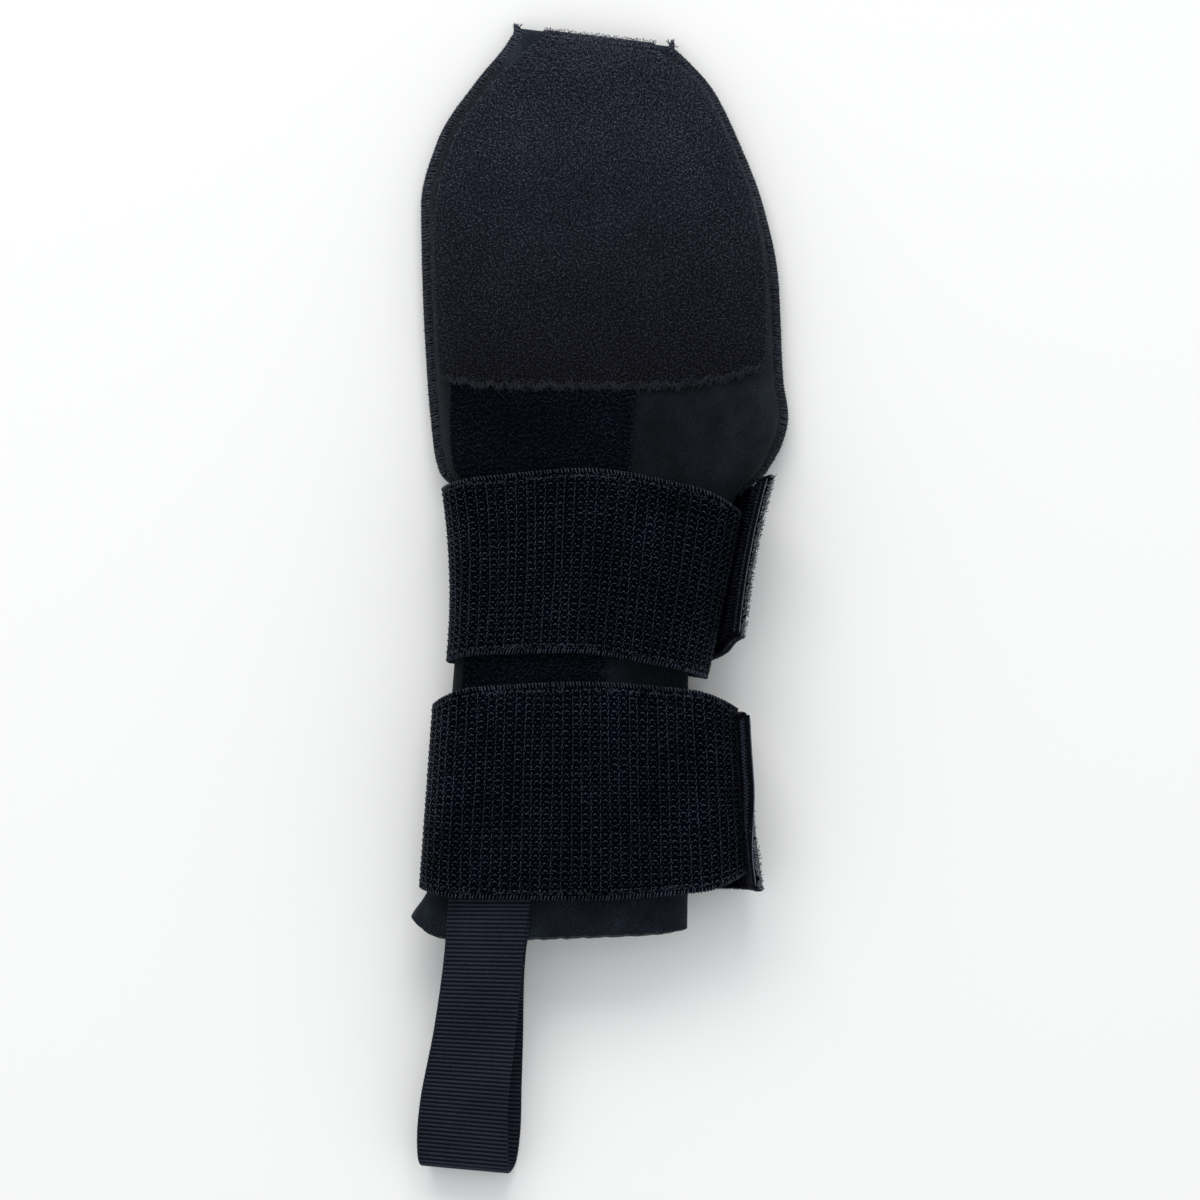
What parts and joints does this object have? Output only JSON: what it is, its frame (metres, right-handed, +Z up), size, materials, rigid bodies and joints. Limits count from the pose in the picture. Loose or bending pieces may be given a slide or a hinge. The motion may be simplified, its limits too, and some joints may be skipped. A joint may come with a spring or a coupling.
{
  "type": "sliding mitt",
  "caption": "Flat padded hand mitt with a hollow for the hand, a pile-covered back, elastic wrist straps with hook tabs and a webbing pull loop.",
  "frame": {"origin": "middle of the footprint, on the surface the mitt lies on palm down", "axes": "+X to the right seen from above with the fingertips up, +Y towards the fingertips, +Z up out of the back of the hand"},
  "size_m": [0.1249, 0.3786, 0.0309],
  "materials": {
    "jersey": "matt fine knit over neoprene foam",
    "pile": "matt brushed loop pile",
    "knit": "matt open elastic knit",
    "thread": "overlock thread",
    "hooks": "woven nylon hook tape",
    "grosgrain": "ribbed webbing with a slight sheen"
  },
  "bodies": {
    "root": {"hand_shell": "jersey", "cuff_shell": "jersey", "pile_panel": "pile", "pile_strip": "pile", "left_edge_binding": "thread", "right_edge_binding": "thread", "upper_strap": "knit", "upper_hook_tab": "hooks", "lower_strap": "knit", "lower_hook_tab": "hooks", "pull_loop": "grosgrain"}
  },
  "joints": []
}
